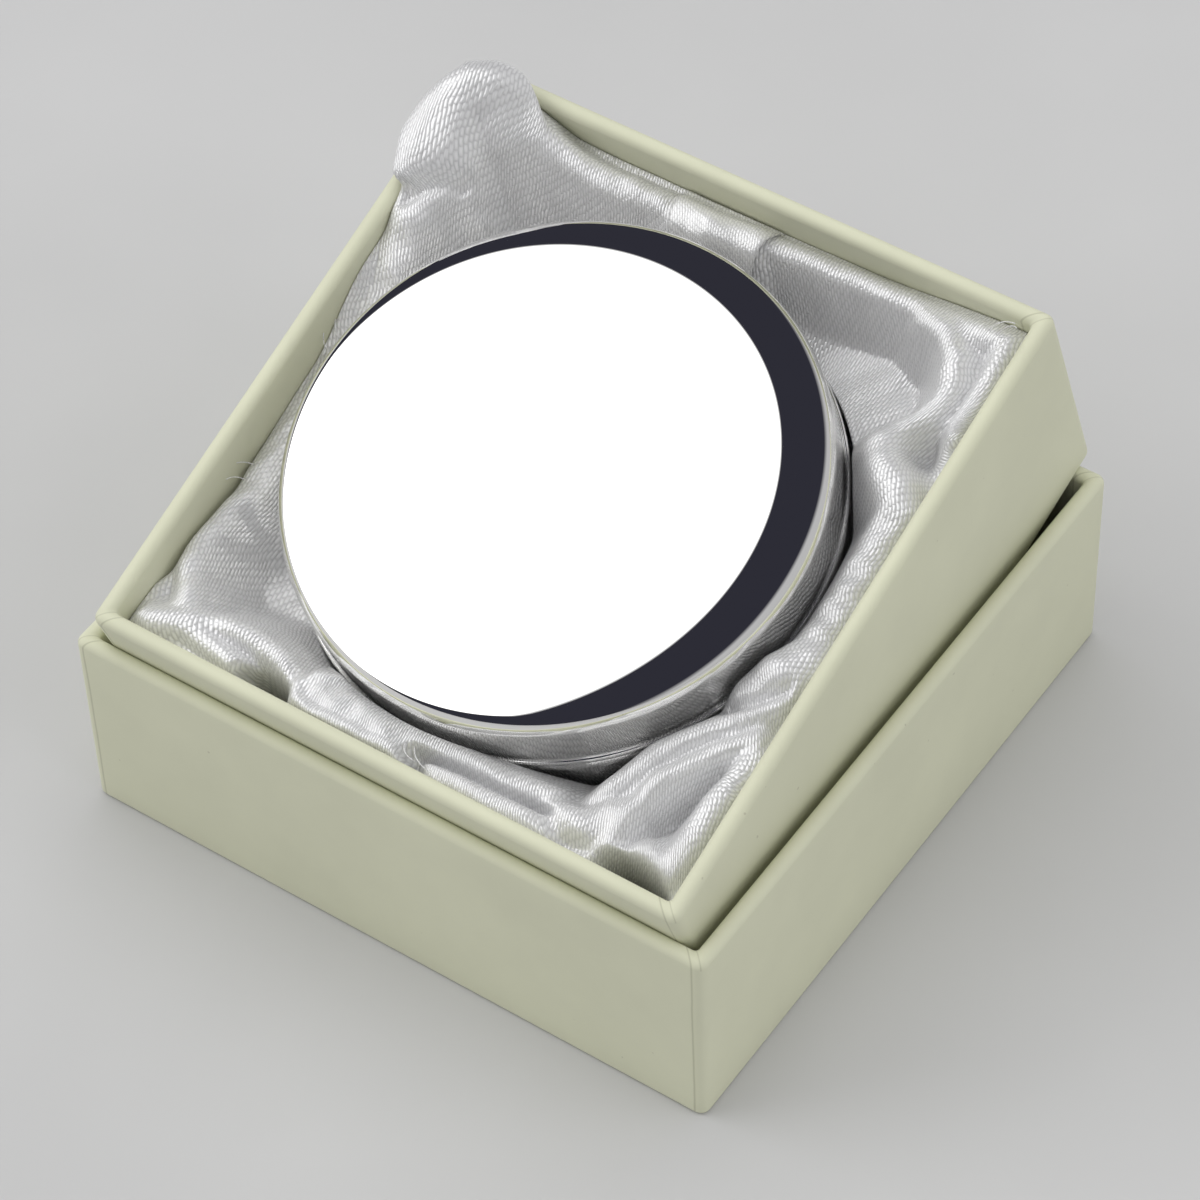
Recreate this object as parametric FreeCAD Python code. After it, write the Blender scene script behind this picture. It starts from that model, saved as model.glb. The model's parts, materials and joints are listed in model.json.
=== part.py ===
"""Round trinket box in a satin-lined gift tray, propped in the upturned lid of its gift case.

Lengths are in millimetres and +Z is up. The origin is the centre of the case lid's underside,
which lies on the table. +X runs along the front edge of the case lid and +Y runs to its back.
"""
import FreeCAD, Part
import math
import os

os.makedirs("parts", exist_ok=True)

# Tray that stands aslant in the case lid: the lining's least width leads from the round box to its walls
lining_side_x = 5.4
lining_side_y = 6.3
tray_height = 31.6
tray_turn_in = 18.0
tray_rest_gap = 0.12

# Case lid, lying upside down on the table: it slips over the tray when the case is closed
case_slip_x = 1.1
case_slip_y = 0.2
case_lid_height = 26.3
case_lid_turn_in = 15.0

# Board and paper that both halves of the case are made of
board_thickness = 1.6
paper_thickness = 0.2
corner_radius = 1.2
bottom_edge_radius = 0.6
inner_corner_radius = 0.5
rim_round_share = 0.98

# Paper stays that hold the folded corners, pressed flush into the board
stay_leg = 12.0
stay_thickness = 0.15
stay_margin = 3.0

# Trinket box
trinket_diameter = 61.0
trinket_offset_x = -0.9
trinket_offset_y = -1.3
base_height = 17.3
base_wall = 0.75
base_edge_radius = 2.5
collar_wall = 0.5
collar_rise = 4.5
collar_grip = 5.0
collar_lead_in = 0.2
felt_thickness = 1.0
felt_gap = 0.2
lid_side_height = 7.3
lid_wall = 0.7
lid_fit_gap = 0.05
seam_gap = 0.08
bead_height = 0.9
bead_bulge = 0.3

# Soft shoulder of the trinket lid: a wide easy curve, then a tighter one
crown_radius = 12.0
crown_turn = math.radians(25)
shoulder_radius = 2.5

# Soft lining of the tray
wadding_thickness = 4.5
wadding_edge_radius = 1.2
satin_thickness = 0.5
soft_gap = 0.3
seat_gap = 0.1

# Satin form in sixteen directions, counter-clockwise from the middle of the right wall. The heights are
# shares of the tray's height, at the wall, in the valley behind the roll and beside the round box.
# The roll is a share of the width between the wall and the round box.
satin_wall_shares = (0.93, 0.93, 0.98, 0.86, 0.85, 0.86, 1.06, 0.94,
                     0.82, 0.82, 0.92, 0.94, 0.94, 0.90, 0.93, 0.92)
satin_valley_shares = (0.86, 0.95, 0.70, 0.70, 0.74, 0.72, 0.98, 0.80,
                       0.76, 0.72, 0.74, 0.92, 0.88, 0.82, 0.80, 0.94)
satin_inner_shares = (0.66, 0.72, 0.58, 0.58, 0.64, 0.62, 0.72, 0.68,
                      0.68, 0.62, 0.62, 0.74, 0.74, 0.66, 0.62, 0.74)
satin_roll_shares = (0.62, 0.75, 0.30, 0.42, 0.60, 0.45, 0.62, 0.50,
                     0.60, 0.50, 0.34, 0.70, 0.66, 0.50, 0.45, 0.75)
satin_roll_bulge_share = 0.30
satin_slope_bulge_share = 0.06
satin_fold_share = 0.05
satin_fold_count = 20
satin_section_count = 72

# Satin ribbon tab over the lining at the far wall, bent round the round box
tab_width = 10.3
tab_thickness = 0.4
tab_offset = -2.2
tab_tail = 6.0
tab_bulge_share = 0.32
tab_proud_share = 0.25

# How far a cutting tool runs past the face that it opens
overrun = 1.0

case_wall = board_thickness + 2 * paper_thickness
case_floor = board_thickness + paper_thickness
rim_radius = rim_round_share * case_wall / 2
board_rim_radius = rim_round_share * board_thickness / 2
trinket_radius = trinket_diameter / 2
tray_width = trinket_diameter + 2 * lining_side_x + 2 * case_wall
tray_depth = trinket_diameter + 2 * lining_side_y + 2 * case_wall
case_lid_width = tray_width + 2 * case_slip_x + 2 * case_wall
case_lid_depth = tray_depth + 2 * case_slip_y + 2 * case_wall
lid_bore_radius = trinket_radius - lid_wall
collar_radius = lid_bore_radius - lid_fit_gap
satin_floor = case_floor + wadding_thickness
trinket_seat = satin_floor + satin_thickness + seat_gap
well_radius = trinket_radius + bead_bulge + soft_gap


def point(x, y, z):
    return FreeCAD.Vector(x, y, z)


def arc(start, middle, end):
    return Part.Arc(start, middle, end).toShape()


def block(width, depth, low, high, radius):
    """Upright block centred on the Z axis, with rounded upright edges."""
    shape = Part.makeBox(width, depth, high - low, point(-width / 2, -depth / 2, low))
    upright = [edge for edge in shape.Edges if abs(edge.tangentAt(edge.FirstParameter).z) > 0.5]
    return shape.makeFillet(radius, upright)


def edges_at(shape, height):
    """Edges that lie flat at one height."""
    near = overrun / 1000
    return [edge for edge in shape.Edges
            if abs(edge.BoundBox.ZMin - height) < near and abs(edge.BoundBox.ZMax - height) < near]


def corner_stays(width, depth, low, high, radius):
    """Four thin paper angles, one around each upright corner of the board."""
    skin = block(width, depth, low, high, radius)
    core = block(width - 2 * stay_thickness, depth - 2 * stay_thickness,
                 low - overrun, high + overrun, radius - stay_thickness)
    skin = skin.cut(core)
    stays = []
    for side_x in (-1, 1):
        for side_y in (-1, 1):
            corner = Part.makeBox(stay_leg + overrun, stay_leg + overrun, high - low)
            corner.translate(point(-(stay_leg + overrun) / 2, -(stay_leg + overrun) / 2, low))
            corner.translate(point(side_x * (width / 2 + (overrun - stay_leg) / 2),
                                   side_y * (depth / 2 + (overrun - stay_leg) / 2), 0))
            stays.append(skin.common(corner).Solids[0])
    return Part.makeCompound(stays)


def case_half(width, depth, height, turn_in):
    """Board, stays and paper wrap of one half of the case, open upwards, standing on Z = 0."""
    board_width = width - 2 * paper_thickness
    board_depth = depth - 2 * paper_thickness
    board_radius = corner_radius - paper_thickness
    room_width = board_width - 2 * board_thickness
    room_depth = board_depth - 2 * board_thickness
    board_top = height - paper_thickness

    board = block(board_width, board_depth, paper_thickness, board_top, board_radius)
    board = board.makeFillet(bottom_edge_radius - paper_thickness, edges_at(board, paper_thickness))
    room = block(room_width, room_depth, case_floor, height + overrun, inner_corner_radius)
    board = board.cut(room)
    board = board.makeFillet(board_rim_radius, edges_at(board, board_top))

    wrap = block(width, depth, 0, height, corner_radius)
    wrap = wrap.makeFillet(bottom_edge_radius, edges_at(wrap, 0))
    mouth = block(room_width - 2 * paper_thickness, room_depth - 2 * paper_thickness,
                  height - turn_in, height + overrun, inner_corner_radius)
    below = block(room_width, room_depth, case_floor, height - turn_in, inner_corner_radius)
    wrap = wrap.cut(mouth).cut(below)
    wrap = wrap.makeFillet(rim_radius, edges_at(wrap, height))
    wrap = wrap.cut(board)

    stays = corner_stays(board_width, board_depth, case_floor + stay_margin, board_top - stay_margin, board_radius)
    board = board.cut(stays)
    return board.Solids[0], stays, wrap.Solids[0]


def tray_lean():
    """Angle at which the tray leans on both rims of the case lid with its front edge on the floor."""
    reach = case_lid_depth / 2 - case_wall + rim_radius
    rise = case_lid_height - rim_radius - case_floor
    low, high = 0.0, math.pi / 4
    for _ in range(60):
        angle = (low + high) / 2
        span = reach * math.sin(2 * angle) - rim_radius * (math.sin(angle) + math.cos(angle))
        if span < rise:
            low = angle
        else:
            high = angle
    return (low + high) / 2


def tray_placement():
    """Places the tray's own frame, which has its origin at the centre of its underside."""
    angle = tray_lean()
    reach = case_lid_depth / 2 - case_wall + rim_radius
    level = case_lid_height - rim_radius
    along = rim_radius - reach * math.cos(angle) + level * math.sin(angle)
    across = rim_radius - reach * math.sin(angle) + level * math.cos(angle)
    edge_y = along * math.cos(angle) - across * math.sin(angle)
    edge_z = along * math.sin(angle) + across * math.cos(angle) + tray_rest_gap
    centre = point(0, edge_y + tray_depth / 2 * math.cos(angle), edge_z + tray_depth / 2 * math.sin(angle))
    return FreeCAD.Placement(centre, FreeCAD.Rotation(point(1, 0, 0), math.degrees(angle)))


def trinket_placement():
    seat = point(trinket_offset_x, trinket_offset_y, trinket_seat)
    return tray_placement().multiply(FreeCAD.Placement(seat, FreeCAD.Rotation()))


def wadding_pad():
    """Soft pad that covers the tray's floor, with its upper edges rounded off."""
    width = tray_width - 2 * case_wall - 2 * soft_gap
    depth = tray_depth - 2 * case_wall - 2 * soft_gap
    pad = block(width, depth, case_floor, satin_floor, wadding_edge_radius)
    return pad.makeFillet(wadding_edge_radius, edges_at(pad, satin_floor))


def blend(shares, angle):
    """Share at an angle, eased between the values of a table."""
    step = 2 * math.pi / len(shares)
    place = (angle % (2 * math.pi)) / step
    index = int(place)
    ease = (1 - math.cos(math.pi * (place - index))) / 2
    return shares[index % len(shares)] * (1 - ease) + shares[(index + 1) % len(shares)] * ease


def wall_distance(angle):
    """Distance from the trinket box's axis to the lining's outer side, along one direction."""
    half_width = tray_width / 2 - case_wall - soft_gap
    half_depth = tray_depth / 2 - case_wall - soft_gap
    reach_x = half_width - math.copysign(1, math.cos(angle)) * trinket_offset_x
    reach_y = half_depth - math.copysign(1, math.sin(angle)) * trinket_offset_y
    along_x = abs(math.cos(angle)) / reach_x
    along_y = abs(math.sin(angle)) / reach_y
    return 1 / max(along_x, along_y)


def satin_profile(angle):
    """Radii and heights that shape the lining in one direction: wall, valley and inner edge."""
    outer = wall_distance(angle)
    fold = satin_fold_share * math.cos(satin_fold_count * angle) * (outer - well_radius)
    wall = blend(satin_wall_shares, angle) * tray_height + fold
    valley = blend(satin_valley_shares, angle) * tray_height - fold
    inner = blend(satin_inner_shares, angle) * tray_height
    valley_radius = outer - blend(satin_roll_shares, angle) * (outer - well_radius)
    return outer, wall, valley_radius, valley, inner


def bulged(start, end, bulge_share):
    """Arc from start to end in the plane of the profile, which bulges upwards by a share of its chord."""
    chord = end.sub(start)
    flat = point(chord.x, chord.y, 0)
    across = flat.cross(point(0, 0, 1)).cross(chord)
    across.normalize()
    if across.z < 0:
        across = across.multiply(-1)
    middle = start.add(end).multiply(1 / 2).add(across.multiply(bulge_share * chord.Length))
    return arc(start, middle, end)


def satin_section(angle):
    """Closed outline of the lining in one upright plane through the trinket box's axis."""
    outer, wall, valley_radius, valley, inner = satin_profile(angle)

    def at(radius, height):
        return point(trinket_offset_x + radius * math.cos(angle),
                     trinket_offset_y + radius * math.sin(angle), height)

    foot_in, foot_out = at(well_radius, satin_floor), at(outer, satin_floor)
    top_out, top_valley, top_in = at(outer, wall), at(valley_radius, valley), at(well_radius, inner)
    return Part.Wire([
        Part.makeLine(foot_in, foot_out),
        Part.makeLine(foot_out, top_out),
        bulged(top_out, top_valley, satin_roll_bulge_share),
        bulged(top_valley, top_in, satin_slope_bulge_share),
        Part.makeLine(top_in, foot_in),
    ])


def satin_lining(tab):
    """Puffed ring of satin between the tray's walls and the round box, with the sheet under the box."""
    turn = 2 * math.pi / satin_section_count
    sections = [satin_section(turn * index) for index in range(satin_section_count)]
    ring = Part.makeLoft(sections, True, True, True)
    sheet = Part.makeCylinder(well_radius + overrun, satin_thickness,
                              point(trinket_offset_x, trinket_offset_y, satin_floor))
    return ring.fuse(sheet).cut(tab).Solids[0]


def satin_tab():
    """Ribbon end that lies over the lining from the far wall, then hangs down beside the round box."""
    angle = math.pi / 2 - math.asin((tab_offset - trinket_offset_x) / well_radius)
    turn = tab_width / well_radius
    near = well_radius - tab_proud_share * tab_thickness
    outer, wall, valley_radius, valley, inner = satin_profile(angle)

    def strip(inset):
        return (point(outer, 0, wall + tab_thickness - inset), point(near + inset, 0, valley - inset),
                point(near + inset, 0, inner - tab_tail))

    upper, lower = strip(0), strip(tab_thickness)
    outline = Part.Wire([
        bulged(upper[0], upper[1], tab_bulge_share),
        Part.makeLine(upper[1], upper[2]),
        Part.makeLine(upper[2], lower[2]),
        Part.makeLine(lower[2], lower[1]),
        bulged(lower[1], lower[0], tab_bulge_share),
        Part.makeLine(lower[0], upper[0]),
    ])
    tab = Part.Face(outline).revolve(point(0, 0, 0), point(0, 0, 1), math.degrees(turn))
    tab.rotate(point(0, 0, 0), point(0, 0, 1), math.degrees(angle - turn / 2))
    tab.translate(point(trinket_offset_x, trinket_offset_y, 0))
    return tab


def turned(edges):
    """Solid of revolution about the Z axis from a closed outline in the XZ plane."""
    return Part.Face(Part.Wire(edges)).revolve(point(0, 0, 0), point(0, 0, 1), 360)


def quarter(centre_x, centre_z, radius, from_angle, to_angle):
    """Arc of a circle in the XZ plane, with angles measured from +X towards +Z."""
    ends = []
    for angle in (from_angle, (from_angle + to_angle) / 2, to_angle):
        ends.append(point(centre_x + radius * math.cos(angle), 0, centre_z + radius * math.sin(angle)))
    return arc(ends[0], ends[1], ends[2])


def base_cup():
    """Drawn cup with a rounded lower edge."""
    inner_radius = base_edge_radius - base_wall
    turn_x = trinket_radius - base_edge_radius
    bore = collar_radius
    return turned([
        Part.makeLine(point(0, 0, 0), point(turn_x, 0, 0)),
        quarter(turn_x, base_edge_radius, base_edge_radius, -math.pi / 2, 0),
        Part.makeLine(point(trinket_radius, 0, base_edge_radius), point(trinket_radius, 0, base_height)),
        Part.makeLine(point(trinket_radius, 0, base_height), point(bore, 0, base_height)),
        Part.makeLine(point(bore, 0, base_height), point(bore, 0, base_edge_radius)),
        quarter(bore - inner_radius, base_edge_radius, inner_radius, 0, -math.pi / 2),
        Part.makeLine(point(bore - inner_radius, 0, base_wall), point(0, 0, base_wall)),
        Part.makeLine(point(0, 0, base_wall), point(0, 0, 0)),
    ])


def base_collar():
    """Thin collar held in the cup's mouth, with a lead-in for the lid."""
    low = base_height - collar_grip
    high = base_height + collar_rise
    inside = collar_radius - collar_wall
    outline = [point(inside, 0, low), point(collar_radius, 0, low),
               point(collar_radius, 0, high - collar_lead_in),
               point(collar_radius - collar_lead_in, 0, high), point(inside, 0, high)]
    return turned([Part.makePolygon(outline + outline[:1])])


def base_felt():
    radius = collar_radius - base_edge_radius + base_wall - felt_gap
    return Part.makeCylinder(radius, felt_thickness, point(0, 0, base_wall))


def lid_outline(radius, low, side_top, inset):
    """Outline edges of the lid's outside, or of its inside when inset by the wall, from rim to axis."""
    tight = shoulder_radius - inset
    wide = crown_radius - inset
    tight_x = radius - tight
    tight_turn = math.pi / 2 - crown_turn
    wide_x = tight_x - (wide - tight) * math.sin(crown_turn)
    wide_z = side_top - (wide - tight) * math.cos(crown_turn)
    top = wide_z + wide
    return [
        Part.makeLine(point(radius, 0, low), point(radius, 0, side_top)),
        quarter(tight_x, side_top, tight, 0, tight_turn),
        quarter(wide_x, wide_z, wide, tight_turn, math.pi / 2),
        Part.makeLine(point(wide_x, 0, top), point(0, 0, top)),
    ], top


def lid_cap():
    """Slip lid: a thin drawn cap with a soft shoulder and a fine bead round its lower edge."""
    low = base_height + seam_gap
    side_top = low + lid_side_height
    outside, top = lid_outline(trinket_radius, low + bead_height, side_top, 0)
    inside, ceiling = lid_outline(lid_bore_radius, low, side_top, lid_wall)
    bead = arc(point(trinket_radius, 0, low),
               point(trinket_radius + bead_bulge, 0, low + bead_height / 2),
               point(trinket_radius, 0, low + bead_height))
    closing = [Part.makeLine(point(0, 0, top), point(0, 0, ceiling)),
               Part.makeLine(point(lid_bore_radius, 0, low), point(trinket_radius, 0, low))]
    return turned(Part.sortEdges([bead] + outside + inside + closing)[0])


def export(name, shape, placement):
    placed = shape.copy()
    placed.Placement = placement.multiply(placed.Placement)
    placed.exportStep("parts/" + name + ".step")


def main():
    here = FreeCAD.Placement()
    aslant = tray_placement()
    boxed = trinket_placement()

    board, stays, wrap = case_half(case_lid_width, case_lid_depth, case_lid_height, case_lid_turn_in)
    export("case_lid_board", board, here)
    export("case_lid_stays", stays, here)
    export("case_lid_wrap", wrap, here)

    board, stays, wrap = case_half(tray_width, tray_depth, tray_height, tray_turn_in)
    export("tray_board", board, aslant)
    export("tray_stays", stays, aslant)
    export("tray_wrap", wrap, aslant)

    tab = satin_tab()
    export("wadding_pad", wadding_pad(), aslant)
    export("satin_lining", satin_lining(tab), aslant)
    export("satin_tab", tab, aslant)

    export("base_cup", base_cup(), boxed)
    export("base_collar", base_collar(), boxed)
    export("base_felt", base_felt(), boxed)
    export("lid_cap", lid_cap(), boxed)
    print("tray leans at", round(math.degrees(tray_lean()), 3), "degrees")


main()
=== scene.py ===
# %% [markdown]
# # A round trinket box in its gift case
# A polished round box lies in a satin-lined tray, and the tray stands aslant in the upturned lid
# of its case. The imported CAD part is the frame of the scene: every new surface is measured from
# it, so that nothing has to be fitted by eye. The box that the CAD part fills is kept.

# %% Load the imported part
import json
import math

import bpy
import numpy as np
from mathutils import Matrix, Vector


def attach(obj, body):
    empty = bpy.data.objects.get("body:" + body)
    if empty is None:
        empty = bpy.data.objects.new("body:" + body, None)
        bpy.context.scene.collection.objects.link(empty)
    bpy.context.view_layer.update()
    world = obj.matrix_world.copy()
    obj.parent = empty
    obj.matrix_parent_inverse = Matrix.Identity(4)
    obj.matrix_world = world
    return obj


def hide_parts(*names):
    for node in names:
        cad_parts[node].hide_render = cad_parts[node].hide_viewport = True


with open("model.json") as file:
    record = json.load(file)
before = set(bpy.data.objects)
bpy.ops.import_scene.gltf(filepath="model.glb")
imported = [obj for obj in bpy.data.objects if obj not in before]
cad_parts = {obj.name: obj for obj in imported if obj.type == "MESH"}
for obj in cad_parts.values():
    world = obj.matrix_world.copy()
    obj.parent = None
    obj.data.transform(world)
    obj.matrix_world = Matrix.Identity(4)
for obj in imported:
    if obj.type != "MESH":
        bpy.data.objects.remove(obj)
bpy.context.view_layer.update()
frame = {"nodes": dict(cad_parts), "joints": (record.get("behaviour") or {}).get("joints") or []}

MM = 0.001

# %% [markdown]
# ## Two sets of axes
# The case lid lies level on the table. The tray and everything in it lean, because the tray
# stands with its front edge in the case lid and its underside on the back rim. The lean could be
# typed in as an angle, but the joint that lifts the round box out of the tray already points
# straight out of the leaning tray, so its direction is used as the leaning "up". A node is then
# measured along whichever axes it was made square to.

# %% Level and leaning axes
lift = next(joint for joint in frame["joints"] if joint["name"] == "trinket_lift")
lean_up = np.array(lift["axis"], float) / np.linalg.norm(lift["axis"])
lean_side = np.array([1.0, 0.0, 0.0])
LEANING = np.stack([lean_side, np.cross(lean_up, lean_side), lean_up])
LEVEL = np.eye(3)
print("lean in degrees:", round(math.degrees(math.acos(lean_up[2])), 2))


# %% Measure a node
def node_box(name, axes):
    """Lowest and highest corner of a CAD node: each vertex is projected on the three axes."""
    mesh = frame["nodes"][name].data
    spots = np.empty(3 * len(mesh.vertices), np.float32)
    mesh.vertices.foreach_get("co", spots)
    along = spots.reshape(-1, 3).astype(float) @ axes.T
    return along.min(0), along.max(0)


def foot_of(name, axes):
    """Middle of a node's underside along the given axes, its half width, half depth and height."""
    low, high = node_box(name, axes)
    half = (high - low) / 2
    return np.array([low[0] + half[0], low[1] + half[1], low[2]]), half[0], half[1], 2 * half[2]


tray_foot, tray_half_width, tray_half_depth, tray_height = foot_of("tray_wrap", LEANING)
print("tray height in mm:", round(tray_height / MM, 2))

# %% [markdown]
# ## From a grid of points to a mesh
# Every new piece below is a grid: rows run along a profile and columns run round it. One helper
# turns any such grid into faces. It joins the last column to the first where a shape closes on
# itself, and it gathers a row that has shrunk to a point into one vertex with a fan of triangles,
# so that poles and seams are closed. A closed shape that comes out with a negative volume is
# turned round, so its faces point outwards.


# %% Faces of a grid
def grid_faces(shape, round_columns, round_rows, first_pole, last_pole):
    """Quads and triangles of a grid: each cell of four neighbours is one quad.

    A pole is a row whose points are all one point, so its cells are a fan of triangles.
    """
    index = np.arange(shape[0] * shape[1]).reshape(shape)
    if first_pole:
        index[0] = index[0, 0]
    if last_pole:
        index[-1] = index[-1, 0]
    down = np.concatenate([index, index[:1]]) if round_rows else index
    ring = np.concatenate([down, down[:, :1]], axis=1) if round_columns else down
    cells = np.stack([ring[:-1, :-1], ring[:-1, 1:], ring[1:, 1:], ring[1:, :-1]], axis=-1)
    fans = [np.empty((0, 3), int)]
    if first_pole:
        fans.append(cells[0][:, [0, 2, 3]])
        cells = cells[1:]
    if last_pole:
        fans.append(cells[-1][:, [0, 1, 2]])
        cells = cells[:-1]
    return cells.reshape(-1, 4), np.concatenate(fans)


def faces_turned(spots, quads, triangles, faces_up):
    """True if the faces look the wrong way: the sum of corner times normal, which is six times
    the volume, is negative, or with faces_up the sum of the normals points against it."""
    halves = np.concatenate([quads[:, [0, 1, 2]], quads[:, [0, 2, 3]], triangles])
    a, b, c = (spots[halves[:, k]] for k in range(3))
    normal = np.cross(b - a, c - a)
    return (normal @ faces_up).sum() < 0 if faces_up is not None else (a * normal).sum() < 0


# %% Mesh of a grid
def new_piece(name, points, faces):
    """Smooth mesh of points and faces, as an object of the scene."""
    mesh = bpy.data.meshes.new(name)
    mesh.from_pydata(points.tolist(), [], faces)
    mesh.shade_smooth()
    piece = bpy.data.objects.new(name, mesh)
    bpy.context.scene.collection.objects.link(piece)
    print(name, "faces:", len(mesh.polygons))
    return piece


def grid_piece(name, grid, round_columns=True, round_rows=False, first_pole=False,
               last_pole=False, faces_up=None):
    """Piece from a grid of points (rows, columns, 3), and the index of each point that it uses.

    With faces_up, an open sheet is turned so that most of its faces look along that direction.
    """
    quads, triangles = grid_faces(grid.shape[:2], round_columns, round_rows, first_pole, last_pole)
    spots = grid.reshape(-1, 3)
    if faces_turned(spots, quads, triangles, faces_up):
        quads, triangles = quads[:, ::-1], triangles[:, ::-1]
    used = np.unique(np.concatenate([quads.ravel(), triangles.ravel()]))
    place = np.zeros(len(spots), int)
    place[used] = np.arange(len(used))
    return new_piece(name, spots[used], place[quads].tolist() + place[triangles].tolist()), used


# %% What a piece carries
def lay_uv(piece, used, flat):
    """Gives each corner of the mesh the flat position (in metres) of its vertex as its UV."""
    mesh = piece.data
    corner = np.empty(len(mesh.loops), int)
    mesh.loops.foreach_get("vertex_index", corner)
    layer = mesh.uv_layers.new(name="flat_cut")
    layer.data.foreach_set("uv", flat.reshape(-1, 2)[used][corner].ravel())


def lay_values(piece, used, name, values):
    """Stores one number per vertex under a name that a material can read."""
    mark = piece.data.attributes.new(name, "FLOAT", "POINT")
    mark.data.foreach_set("value", values.reshape(-1)[used].astype(np.float32))


def thicken(piece, thickness):
    """Gives a sheet its thickness on the side away from its faces."""
    wall = piece.modifiers.new("thickness", "SOLIDIFY")
    wall.thickness = thickness
    wall.offset = -1


def wear(finish, *pieces):
    """Puts one finish on each piece or CAD node."""
    for piece in pieces:
        piece.data.materials.clear()
        piece.data.materials.append(finish)


def settle(piece, body, slot, *nodes):
    """Lets a finished piece ride on its body and stand for CAD nodes; its slot is not used."""
    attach(piece, body)
    if nodes:
        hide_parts(*nodes)


# %% [markdown]
# ## Finishes
# A finish is a Principled shader with a few texture nodes. Numbers that hold all over a surface
# go straight into the shader's sockets; only what varies (mottling, weave, grain, specks) comes
# through nodes. All textures read Object coordinates, the piece's own flat cut or a stored value,
# so they stay on the piece when it moves.


# %% Shader and nodes
def finish_of(name, **sockets):
    """New material: a Principled shader with constant values set on its own sockets."""
    finish = bpy.data.materials.new(name)
    finish.use_nodes = True
    shader = finish.node_tree.nodes["Principled BSDF"]
    for socket, value in sockets.items():
        shader.inputs[socket.replace("_", " ")].default_value = value
    return finish.node_tree, shader, finish


def plug(tree, shader, **outputs):
    """Wires outputs into the shader's sockets of the same names."""
    for socket, output in outputs.items():
        tree.links.new(output, shader.inputs[socket.replace("_", " ")])


def add(tree, kind, wires=(), **settings):
    """New node: settings are its own properties, wires are pairs of input and value or output."""
    node = tree.nodes.new("ShaderNode" + kind)
    for key, value in settings.items():
        setattr(node, key, value)
    for key, value in wires:
        if isinstance(value, bpy.types.NodeSocket):
            tree.links.new(value, node.inputs[key])
        else:
            node.inputs[key].default_value = value
    return node


# %% Arithmetic in nodes
def sums(tree, operation, *parts):
    """One step of arithmetic on up to three numbers or sockets."""
    return add(tree, "Math", enumerate(parts), operation=operation).outputs[0]


def vectors(tree, operation, first, second):
    """One step of arithmetic on two vectors; a dot product comes out as a number."""
    node = add(tree, "VectorMath", [(0, first), (1, second)], operation=operation)
    return node.outputs["Value" if operation == "DOT_PRODUCT" else "Vector"]


def between(tree, value, low, high, start, stop):
    """Value carried from one range into another and held at its ends."""
    return add(tree, "MapRange", [("Value", value), ("From Min", low), ("From Max", high),
                                  ("To Min", start), ("To Max", stop)]).outputs[0]


def half_sine(tree, value):
    """Round hump over each whole step of a value: sine of pi times its fraction."""
    return sums(tree, "SINE", sums(tree, "MULTIPLY", sums(tree, "FRACT", value), math.pi))


# %% Textures and colours
def noise(tree, place, scale, detail, output="Fac"):
    """Cloudy noise, read at a place."""
    return add(tree, "TexNoise", [("Vector", place), ("Scale", scale),
                                  ("Detail", detail)]).outputs[output]


def bumps(tree, height, strength, distance, wires=()):
    """Normal that a small relief gives."""
    return add(tree, "Bump", [("Height", height), ("Strength", strength), ("Distance", distance),
                              *wires]).outputs[0]


def blend(tree, share, first, second):
    """First colour where the share is 0, second colour where it is 1."""
    return add(tree, "MixRGB", [("Fac", share), ("Color1", first), ("Color2", second)]).outputs[0]


def shade_of(colour, factor):
    """Colour made darker or lighter by a factor and held at 1."""
    return (*[min(1, c * factor) for c in colour], 1)


def shades(tree, value, colour, dark, light):
    """Colour ramp between two shades of one colour, each a pair of position and factor."""
    node = add(tree, "ValToRGB", [("Fac", value)])
    for stop, (position, factor) in zip(node.color_ramp.elements, (dark, light)):
        stop.position = position
        stop.color = shade_of(colour, factor)
    return node.outputs[0]


# %% [markdown]
# ## Paper wrap of the case
# The case is greyboard with pale green-cream paper glued round it. The paper goes under the
# floor, up the walls, over the rounded rim and some way down inside. It could be five flat
# plates, but then the soft rim and the rounded bottom edge would be lost. Here one profile
# (floor, edge, wall, rim, turn-in) is carried round a rounded rectangle, so the whole wrap is one
# sheet, as the real paper is.

# %% Path round the walls
SIDE_STOPS = np.array([0.012, 0.024, 0.034, 0.044, 0.06, 0.09, 0.14, 0.24, 0.4, 0.62, 0.85])
CORNER_STEPS = 7


def round_rectangle_path():
    """Samples round a rectangle: share of the core's half width and depth, outward direction.

    A side runs between two corner centres at shares from -1 to 1, with closer samples near its
    ends, and a corner turns a quarter circle.
    """
    side = np.concatenate([-1 + SIDE_STOPS, [0.0], (1 - SIDE_STOPS)[::-1]])
    turn = np.linspace(0, math.pi / 2, CORNER_STEPS)
    share, outward = [], []
    for quarter in range(4):
        start = quarter * math.pi / 2
        face = np.array([math.cos(start), math.sin(start)])
        along = np.array([-math.sin(start), math.cos(start)])
        share.append(face + side[:, None] * along)
        outward.append(np.repeat(face[None], len(side), 0))
        share.append(np.repeat((face + along)[None], len(turn), 0))
        outward.append(np.stack([np.cos(start + turn), np.sin(start + turn)], 1))
    return np.concatenate(share), np.concatenate(outward)


path_share, path_outward = round_rectangle_path()
print("samples round the walls:", len(path_share))

# %% Profile of the wrap
PAPER = 0.18 * MM
EDGE_ROUND = 0.6 * MM
WALL = 2.0 * MM
RIM_ROUND = 0.98 * MM
FLOOR_SHARES = np.array([0.0, 0.3, 0.7, 0.95])
EDGE_ROWS, WALL_ROWS, RIM_ROWS, TURN_IN_ROWS = 7, 12, 19, 8


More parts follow.
